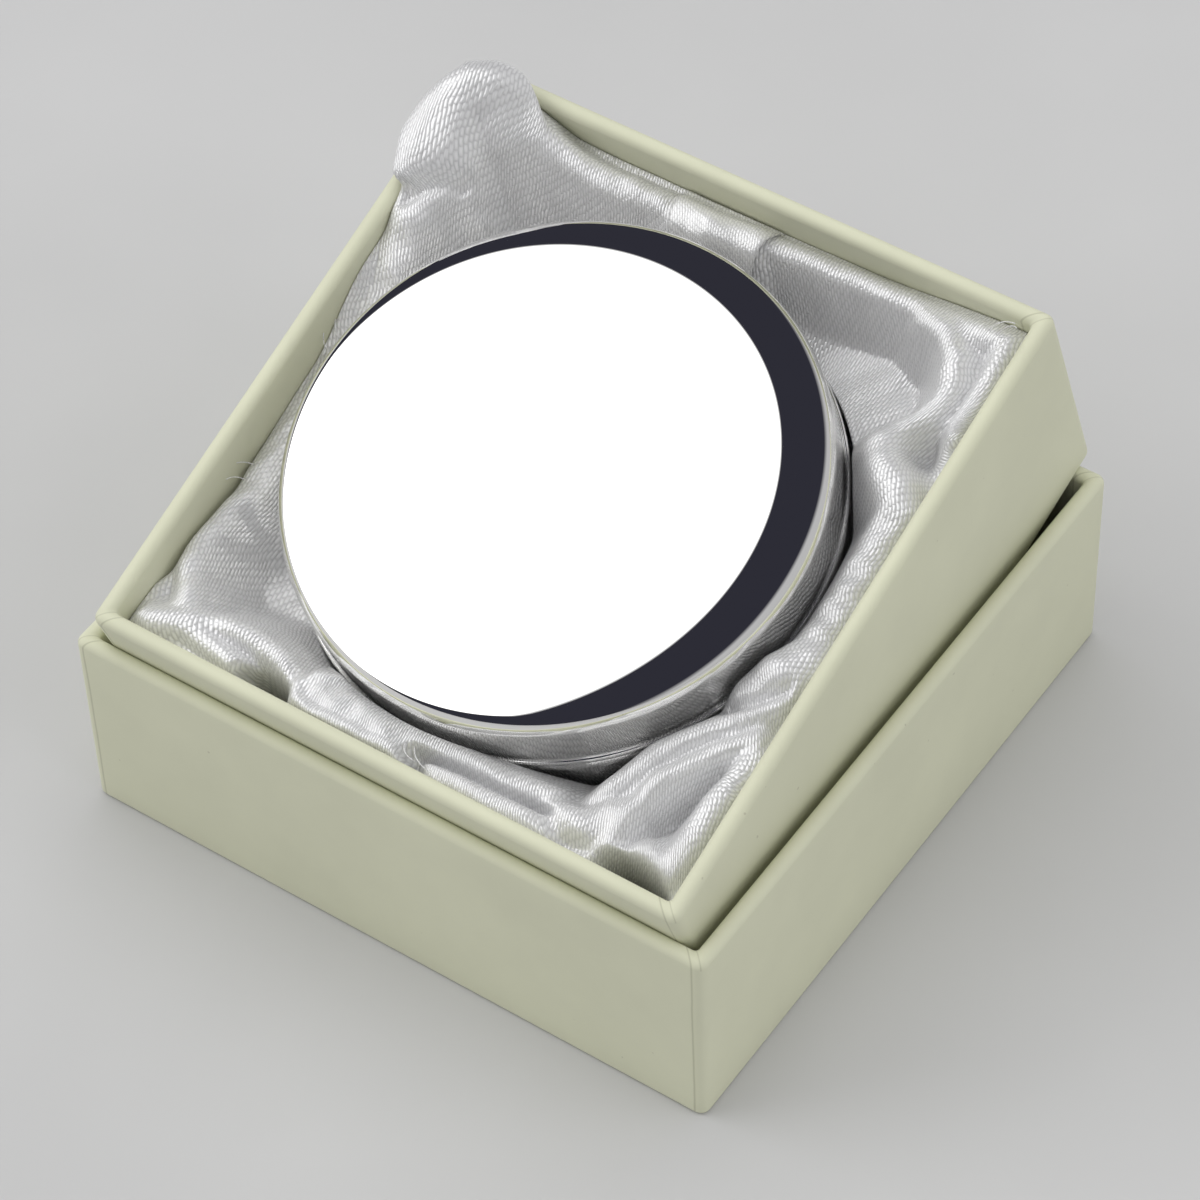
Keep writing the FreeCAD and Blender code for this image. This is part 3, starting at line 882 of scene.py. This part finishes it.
def creases(angle, share):
    """Two sine waves round the box whose pitch wanders; the finer one also comes and goes."""
    fine = np.sin(FINE_WAVES * angle + 5 * np.sin(3 * angle)) * (0.5 + 0.5 * np.sin(7 * angle + 1))
    broad = np.sin(BROAD_WAVES * angle + 9 * share + 4 * np.sin(2 * angle))
    return (FINE_CREASE * fine + BROAD_CREASE * broad) * np.sin(math.pi * np.clip(share, 0, 1))


def satin_height(angle, share):
    """Height, x and y in mm at an angle and a share of the way from the wall to the round box."""
    outer = wall_distance(angle)
    width = outer - WELL
    radius = outer - share * width
    x, y = BOX_AT[0] + radius * np.cos(angle), BOX_AT[1] + radius * np.sin(angle)
    height = plain_height(angle, share, width) - UNDER_ROLLS
    for crest, half_width in ROLLS:
        height = smooth_max(height, over_bar(x, y, crest, half_width))
    for groove in GROOVES:
        height = height - in_groove(x, y, *groove)
    return height + creases(angle, share), x, y


print("grooves and pockets:", len(GROOVES), "deepest in mm:", max(groove[2] for groove in GROOVES))

# %% [markdown]
# The sheet's grid runs from a tuck at the wall over the rolls to the box, down beside it and
# under it to the middle. A height alone can't overhang, so the upper part of the hood is then
# pushed outwards, over the rim. The flat cut of the cloth is found by unrolling each column: the
# length of sheet from the middle, laid out in the column's own direction. The weave follows that
# flat cut, as it does in real cloth.

# %% Hood over the rim
HOOD_MIDDLE = np.array([-27.0, 27.0])
HOOD_REACH = 14.0
HOOD_STILL = 2.0
HOOD_FADE = 3.0
HOOD_OVERHANG = 3.0
HOOD_RISE = 3.4
BELOW_RIM = 0.2


def over_rim(points):
    """Points above the rim move away from the hood's middle, more with height.

    The move is HOOD_OVERHANG times the smooth step 3 r^2 - 2 r^3 of the rise over the rim, faded
    out near the middle and far from it.
    """
    way = points[..., :2] - HOOD_MIDDLE
    far = np.linalg.norm(way, axis=-1, keepdims=True)
    rise = np.clip((points[..., 2:] - TRAY_HEIGHT + BELOW_RIM) / HOOD_RISE, 0, 1)
    near = np.clip((HOOD_REACH - far) / HOOD_FADE, 0, 1)
    near = near * np.clip((far - HOOD_STILL) / HOOD_FADE, 0, 1)
    move = HOOD_OVERHANG * rise ** 2 * (3 - 2 * rise) * near * way / np.maximum(far, 1e-6)
    return np.concatenate([points[..., :2] + move, points[..., 2:]], -1)


# %% Satin sheet
COLUMNS = 480
RING_ROWS, WELL_ROWS, UNDER_ROWS = 80, 12, 7
TUCK_SHARES = np.array([1.0, 0.8, 0.6, 0.42, 0.28, 0.16, 0.07])[:, None]
TUCK_DEPTH = 4.0
TUCK_LEVEL = 26.0
BELOW_BOX = 0.08
SEAT = (cup_foot - tray_foot)[2] / MM - BELOW_BOX
SATIN_THICK = 0.2 * MM


def in_tray(points):
    """Points in mm from the middle of the tray's underside, carried into the scene in metres."""
    return (points * MM + tray_foot) @ LEANING


def stacked(x, y, height):
    """Grid of points from three arrays that are first spread to one shape."""
    return np.stack(np.broadcast_arrays(x, y, height), -1)


def satin_grid():
    """Points in mm: tuck at the wall, ring by height, down the well and in to the middle.

    Each height of the ring is eased: it becomes the mean of itself and its neighbours.
    """
    angle = np.linspace(0, 2 * math.pi, COLUMNS, endpoint=False)[None]
    share = np.linspace(0, 1, RING_ROWS)[:, None] + np.zeros_like(angle)
    height, x, y = satin_height(angle + 0 * share, share)
    height = (height + np.roll(height, 1, 1) + np.roll(height, -1, 1)) / 3
    height[1:-1] = (height[:-2] + height[1:-1] + height[2:]) / 3
    low = np.minimum(height[0] - TUCK_DEPTH, TUCK_LEVEL)
    tuck = stacked(x[0], y[0], height[0] + (low - height[0]) * TUCK_SHARES)
    sink = np.linspace(0, 1, WELL_ROWS)[1:, None]
    well = stacked(x[-1], y[-1], height[-1] + (SEAT - height[-1]) * sink)
    draw = np.linspace(1, 0, UNDER_ROWS)[1:, None]
    under = stacked(BOX_AT[0] + draw * (x[-1] - BOX_AT[0]),
                    BOX_AT[1] + draw * (y[-1] - BOX_AT[1]), SEAT)
    return np.concatenate([over_rim(tuck), over_rim(stacked(x, y, height)), well, under]), angle[0]


def flat_cut(grid, angle):
    """Unrolled cloth: for each point, its length of sheet from the middle, along its direction."""
    steps = np.linalg.norm(np.diff(grid, axis=0), axis=-1)
    length = np.concatenate([np.cumsum(steps[::-1], 0)[::-1], np.zeros((1, grid.shape[1]))])
    return np.stack([length * np.cos(angle), length * np.sin(angle)], -1)


sheet_grid, sheet_angle = satin_grid()
satin, satin_used = grid_piece("satin_sheet", in_tray(sheet_grid), last_pole=True,
                               faces_up=lean_up)
lay_uv(satin, satin_used, flat_cut(sheet_grid, sheet_angle) * MM)
thicken(satin, SATIN_THICK)

# %% [markdown]
# ## Satin finish
# Satin shines because long floats of yarn lie on top, side by side. Each float is a short stroke,
# and the next row of strokes is shifted on. A brick texture would give such strokes hard joints;
# here a half sine across each row times a half sine along it gives round strokes on the flat cut.
# They are raised a little, and the gaps between them are painted darker, as painted shade. The
# shine is stretched across the yarn, so the shader is anisotropic.

# %% Satin cloth
FLOAT_WIDE = 0.48 * MM
FLOAT_LONG = 1.20 * MM
ROW_SHIFT = 0.37
BLUNT_ENDS = 0.6
WOBBLE = (0.8 * MM, 0.8 * MM, 0.0)
WEAVE_DEPTH = 0.10 * MM
SATIN_WHITE = (0.92, 0.92, 0.925)
SATIN_TURN = math.radians(102)


def satin_finish(name, tone, turn, size=1.0, depth=1.0):
    """Floats of yarn, turned by an angle, over a soft crumple.

    A float's height is a half sine across its row times a half sine along it, blunted by a power
    below 1; each row is shifted on from the last by ROW_SHIFT of a float.
    """
    tree, shader, finish = finish_of(name, Metallic=0.36, Roughness=0.34, Specular_IOR_Level=0.5,
                                     Anisotropic=0.5, Sheen_Weight=0.2, Sheen_Roughness=0.35)
    flat = add(tree, "UVMap", uv_map="flat_cut").outputs[0]
    sway = noise(tree, flat, scale=260.0, detail=2.0, output="Color")
    place = vectors(tree, "ADD", flat, vectors(tree, "MULTIPLY", sway, WOBBLE))
    wide, long = FLOAT_WIDE * size, FLOAT_LONG * size
    cos, sin = math.cos(turn), math.sin(turn)
    across = vectors(tree, "DOT_PRODUCT", place, (-sin / wide, cos / wide, 0))
    ahead = vectors(tree, "DOT_PRODUCT", place, (cos / long, sin / long, 0))
    step = sums(tree, "MULTIPLY_ADD", sums(tree, "FLOOR", across), ROW_SHIFT, ahead)
    ends = sums(tree, "POWER", half_sine(tree, step), BLUNT_ENDS)
    raised = sums(tree, "MULTIPLY", half_sine(tree, across), ends)
    # painted shade: the gaps between floats are darkened to 0.74 of the tone, standing in for the
    # floats' glint
    painted_gap_shade = blend(tree, between(tree, raised, 0.0, 0.8, 0.0, 1.0),
                  shade_of(tone, 0.74), shade_of(tone, 1))
    cloud = noise(tree, flat, scale=90.0, detail=3.0)
    mottled = blend(tree, between(tree, cloud, 0.3, 0.7, 0.0, 0.10), painted_gap_shade, shade_of(tone, 0.7))
    crumple = noise(tree, flat, scale=300.0, detail=2.0)
    soft = bumps(tree, crumple, strength=0.4, distance=0.6 * MM)
    weave = bumps(tree, raised, strength=0.75, distance=WEAVE_DEPTH * depth,
                  wires=[("Normal", soft)])
    tangent = add(tree, "Tangent", direction_type="UV_MAP", uv_map="flat_cut").outputs[0]
    plug(tree, shader, Base_Color=mottled, Normal=weave, Tangent=tangent)
    return finish


wear(satin_finish("satin", SATIN_WHITE, SATIN_TURN), satin)
settle(satin, "tray", "satin", "satin_lining")
print("floats in mm:", round(FLOAT_WIDE / MM, 2), "by", round(FLOAT_LONG / MM, 2))

# %% [markdown]
# ## Frayed yarns
# The satin is cut, not hemmed, so single yarns have worked loose where its edge comes up: in the
# far right corner, at the front and along the left wall. A curve with a bevel would do; here a
# small ring is carried along a bent path, which closes both ends and keeps every strand in one
# mesh.

# %% Loose yarns
YARN = 0.055
YARN_STEPS, YARN_SIDES = 12, 6
ASIDE = np.array([0.31, 0.23, 0.92])
YARN_WHITE = (0.78, 0.78, 0.77)
# start, bend and end of each strand in mm, from the middle of the tray's underside
STRANDS = np.array((
    ((33.2, 34.2, 30.4), (35.0, 34.6, 32.4), (35.2, 32.4, 32.6)),
    ((33.6, 33.6, 30.6), (35.2, 33.4, 33.0), (34.4, 31.6, 33.2)),
    ((32.6, 34.6, 30.0), (34.0, 35.8, 32.0), (35.2, 35.2, 32.6)),
    ((33.8, 32.8, 30.6), (35.4, 32.0, 32.0), (35.3, 30.0, 32.0)),
    ((34.0, 31.6, 30.6), (35.3, 30.6, 31.6), (35.3, 28.6, 31.2)),
    ((31.6, 34.8, 29.8), (32.4, 35.9, 31.4), (34.4, 36.0, 31.6)),
    ((1.0, -34.6, 30.4), (1.8, -36.2, 31.6), (3.6, -36.2, 31.4)),
    ((2.2, -34.6, 30.4), (3.2, -36.2, 31.2), (5.4, -36.3, 30.6)),
    ((-34.6, -15.6, 26.0), (-35.5, -16.0, 27.2), (-35.7, -17.0, 27.5)),
    ((-34.6, -13.6, 26.0), (-35.5, -14.0, 27.0), (-35.7, -14.8, 27.6)),
    ((-34.6, 1.6, 26.2), (-35.5, 2.0, 27.2), (-35.7, 3.0, 27.8)),
    ((-34.6, 3.6, 26.2), (-35.5, 4.2, 27.2), (-35.7, 5.2, 27.3)),
))


def unit(way):
    """Directions of length 1."""
    return way / np.linalg.norm(way, axis=-1, keepdims=True)


def yarn_mesh(name):
    """Quadratic bend p0 (1-t)^2 + 2 p1 t (1-t) + p2 t^2, with a ring of points square to it."""
    part = np.linspace(0, 1, YARN_STEPS)[None, :, None]
    first, bend, last = (STRANDS[:, k][:, None] for k in range(3))
    path = first * (1 - part) ** 2 + 2 * bend * part * (1 - part) + last * part ** 2
    ahead = unit(np.gradient(path, axis=1))
    side = unit(np.cross(ahead, ASIDE))
    turn = np.linspace(0, 2 * math.pi, YARN_SIDES, endpoint=False)[:, None]
    ring = np.cos(turn) * side[:, :, None] + np.sin(turn) * np.cross(ahead, side)[:, :, None]
    points = path[:, :, None] + YARN * ring
    index = np.arange(points[..., 0].size).reshape(points.shape[:3])
    past = np.roll(index, -1, 2)
    sides = np.stack([index[:, :-1], past[:, :-1], past[:, 1:], index[:, 1:]], -1).reshape(-1, 4)
    ends = np.concatenate([index[:, 0, ::-1], index[:, -1]])
    return new_piece(name, in_tray(points.reshape(-1, 3)), sides.tolist() + ends.tolist())


yarns = yarn_mesh("loose_yarns")
wear(fibre_finish("satin_yarn", YARN_WHITE, scale=4000.0, depth=0.02 * MM), yarns)
settle(yarns, "tray", "satin")

# %% [markdown]
# ## Satin tab
# A short end of satin ribbon lies over the lining at the far wall and hangs down beside the box,
# to lift it by. It could be a bent plate, but it lies on cloth: so it is a strip of the sheet's
# own directions, laid a little above the sheet and smoother than it.

# %% Tab strip
TAB_WIDTH = 10.3
TAB_AT = -2.2
TAB_TAIL = 6.0
TAB_START = 0.02
TAB_LIFT = 0.45
TAB_FOLLOWS = 0.25
TAB_INSIDE = 0.18
TAB_ROWS, TAIL_ROWS = 40, 12
TAB_COLUMNS = 25
RIBBON_THICK = 0.15 * MM
RIBBON_WHITE = (0.92, 0.92, 0.92)
RIBBON_TURN = math.radians(75)
tab_across = np.linspace(-0.5, 0.5, TAB_COLUMNS)[None] * TAB_WIDTH


def tab_grid():
    """Strip in mm: rows run from the wall to the box over the sheet, then straight down.

    Its height is the row's mean plus TAB_FOLLOWS of the sheet's departure from it, and nowhere
    less than TAB_LIFT over the sheet.
    """
    middle = math.pi / 2 - math.asin((TAB_AT - BOX_AT[0]) / WELL)
    angle = middle - tab_across / WELL
    share = np.linspace(TAB_START, 1, TAB_ROWS)[:, None] + 0 * angle
    height, x, y = satin_height(angle + 0 * share, share)
    mean = height.mean(1, keepdims=True)
    lifted = np.maximum(mean + TAB_FOLLOWS * (height - mean), height) + TAB_LIFT
    sink = np.linspace(0, 1, TAIL_ROWS)[1:, None]
    tail = stacked(x[-1] - TAB_INSIDE * np.cos(angle[0]), y[-1] - TAB_INSIDE * np.sin(angle[0]),
                   lifted[-1] - TAB_TAIL * sink)
    return np.concatenate([stacked(x, y, lifted), tail])


tab_points = tab_grid()
tab, tab_used = grid_piece("satin_ribbon_tab", in_tray(tab_points), round_columns=False,
                           faces_up=lean_up)
tab_steps = np.linalg.norm(np.diff(tab_points[:, TAB_COLUMNS // 2], axis=0), axis=-1)
tab_length = np.concatenate([[0], np.cumsum(tab_steps)])
tab_flat = np.stack(np.broadcast_arrays(tab_across, tab_length[:, None]), -1)
lay_uv(tab, tab_used, tab_flat * MM)
thicken(tab, RIBBON_THICK)
wear(satin_finish("satin_ribbon", RIBBON_WHITE, RIBBON_TURN, size=0.6, depth=0.5), tab)
settle(tab, "tray", "satin", "satin_tab")
print("tab length in mm:", round(float(tab_length[-1]), 2))

# %% [markdown]
# ## Floor
# The floor is plain and pale, so that the case keeps its own soft shadow. A faint cloud in its
# colour keeps it from looking like paper.

# %% Floor
scene = bpy.context.scene
scene.view_settings.view_transform = "Standard"
FLOOR_HALF = 2.5
UNDER_CASE = -0.02 * MM
FLOOR_GREY = (0.56, 0.56, 0.56)
LIGHTER = 0.60 / 0.56


def floor_piece():
    """Flat grid of 2 by 2 corners just under the case."""
    corner = np.array([-FLOOR_HALF, FLOOR_HALF])
    grid = stacked(corner[:, None], corner[None], UNDER_CASE)
    floor, _ = grid_piece("floor", grid, round_columns=False, faces_up=LEVEL[2])
    tree, shader, finish = finish_of("pale_floor", Roughness=0.8, Specular_IOR_Level=0.2)
    cloud = noise(tree, add(tree, "TexCoord").outputs["Object"], scale=14.0, detail=3.0)
    tone = shades(tree, cloud, FLOOR_GREY, dark=(0.3, 1.0), light=(0.7, LIGHTER))
    plug(tree, shader, Base_Color=tone)
    wear(finish, floor)


floor_piece()

# %% [markdown]
# ## Light
# Polished metal shows what stands round it, so the light and the mirror image are kept apart.
# Three soft lamps (high behind, at the right, and from the window's side) shape the cloth and the
# paper, and are hidden from glossy rays. For glossy rays alone the world is a white round field,
# like a window, with a dark ring about it, as a photographer's black card gives. The lid's flat
# top mirrors the white and its edge the dark. For all other rays the world is an even fill.

# %% World
WINDOW = (-0.686, -0.393, 0.612)
WINDOW_EDGE = math.cos(math.radians(43.4))
WINDOW_BLUR = 0.012
DARK_END = math.cos(math.radians(96))
DARK_BLUR = 0.25
FILL = 0.50
FILL_GREY = (FILL, FILL, FILL * 1.01, 1)
WHITE_FIELD = (1.8, 1.8, 1.8, 1)
DARK_RING = (0.028, 0.028, 0.040, 1)
GREY_BEYOND = (0.50, 0.50, 0.51, 1)
BACKDROP = (0.72, 0.72, 0.72, 1)


def studio_world():
    """Fill for diffuse light, a white field in a dark ring for glossy rays, a grey backdrop.

    Field and ring go by the cosine of the angle from the window's direction.
    """
    world = bpy.data.worlds.new("studio")
    scene.world = world
    world.use_nodes = True
    tree = world.node_tree
    tree.nodes.clear()
    toward = vectors(tree, "DOT_PRODUCT", add(tree, "TexCoord").outputs["Generated"], WINDOW)
    white = between(tree, toward, WINDOW_EDGE - WINDOW_BLUR, WINDOW_EDGE + WINDOW_BLUR, 0.0, 1.0)
    beyond = between(tree, toward, DARK_END, DARK_END - DARK_BLUR, 0.0, 1.0)
    mirrored = blend(tree, white, blend(tree, beyond, DARK_RING, GREY_BEYOND), WHITE_FIELD)
    rays = add(tree, "LightPath").outputs
    lit = blend(tree, rays["Is Glossy Ray"], FILL_GREY, mirrored)
    shown = blend(tree, rays["Is Camera Ray"], lit, BACKDROP)
    light = add(tree, "Background", [("Color", shown), ("Strength", 1.0)]).outputs[0]
    tree.links.new(light, add(tree, "OutputWorld").inputs["Surface"])


studio_world()
print("white field, degrees across:", round(2 * math.degrees(math.acos(WINDOW_EDGE)), 1))

# %% Soft lamps
LAMP_AIM = np.array([0, 0, 0.03])
WINDOW_AWAY = 1.2
# name, place in m, side in m and radiance of each lamp
LAMPS = (
    ("broad_light", np.array([-0.20, 0.20, 1.00]), 1.00, 1.20),
    ("side_light", np.array([0.75, 0.10, 0.55]), 0.80, 0.9),
    ("window_light", WINDOW_AWAY * np.array(WINDOW), 0.80, 2.0),
)


def soft_light(name, place, side, radiance):
    """Square lamp whose surface has the given brightness: power = radiance times area times pi."""
    lamp = bpy.data.lights.new(name, "AREA")
    lamp.shape = "SQUARE"
    lamp.size = side
    lamp.energy = radiance * side * side * math.pi
    stand = bpy.data.objects.new(name, lamp)
    scene.collection.objects.link(stand)
    stand.location = place
    stand.rotation_euler = Vector(place - LAMP_AIM).to_track_quat("Z", "Y").to_euler()
    stand.visible_glossy = False
    print(name, "power in W:", round(lamp.energy, 2))


for lamp_row in LAMPS:
    soft_light(*lamp_row)

# %% [markdown]
# ## Camera
# Place, turn and focal length were worked out from where the corners of the case and the outline
# of the lid lie in the photograph, so the view can be set beside it.

# %% Camera at the photograph's view
CAMERA_AT = (0.203676, -0.280544, 0.411487)
CAMERA_TURN = (41.42749, 1.46540, 34.28884)
lens = bpy.data.cameras.new("camera")
lens.sensor_width = 36.0
lens.lens = 141.355
camera = bpy.data.objects.new("camera", lens)
scene.collection.objects.link(camera)
camera.location = CAMERA_AT
camera.rotation_euler = [math.radians(turn) for turn in CAMERA_TURN]
scene.camera = camera
print("camera, m from the table's origin:", round(math.dist(CAMERA_AT, (0, 0, 0)), 3))
